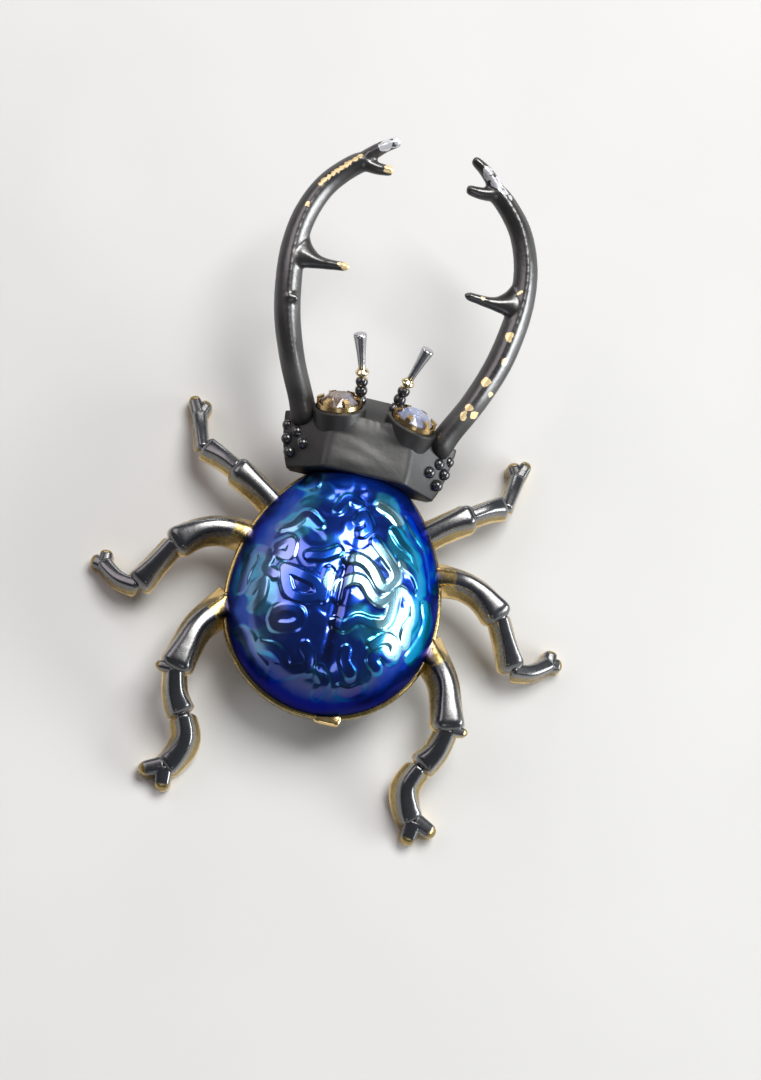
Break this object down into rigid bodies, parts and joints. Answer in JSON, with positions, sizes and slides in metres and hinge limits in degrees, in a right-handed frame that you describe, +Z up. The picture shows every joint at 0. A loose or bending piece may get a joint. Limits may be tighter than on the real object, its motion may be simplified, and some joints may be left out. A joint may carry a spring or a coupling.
{
  "type": "insect brooch",
  "caption": "Stag beetle brooch: domed enamelled wing case, black head with open jaws and stone eyes, on a gold plated frame of bent legs, with a pin behind.",
  "frame": {"origin": "middle of the outline seen from above, on the plane that the six feet stand on", "axes": "+Z up from the back of the brooch to its face, +Y from the hind legs towards the jaws, +X to the beetle's right side"},
  "size_m": [0.0404, 0.0546, 0.0147],
  "materials": {
    "gold_plated_casting": "gold plated, black lacquer over the tops of the legs",
    "blue_enamel": "glossy dark blue enamel with an iridescent sheen",
    "black_casting": "satin gunmetal black, worn to gold on the edges",
    "gold_cup": "bright gold plate",
    "clear_stone": "polished cut glass",
    "pin_steel": "plain bright metal"
  },
  "bodies": {
    "root": {"leg_frame": "gold_plated_casting", "wing_case": "blue_enamel", "head_and_jaws": "black_casting", "eye_cup_left": "gold_cup", "eye_cup_right": "gold_cup", "eye_stone_left": "clear_stone", "eye_stone_right": "clear_stone", "brooch_pin": "pin_steel"}
  },
  "joints": []
}
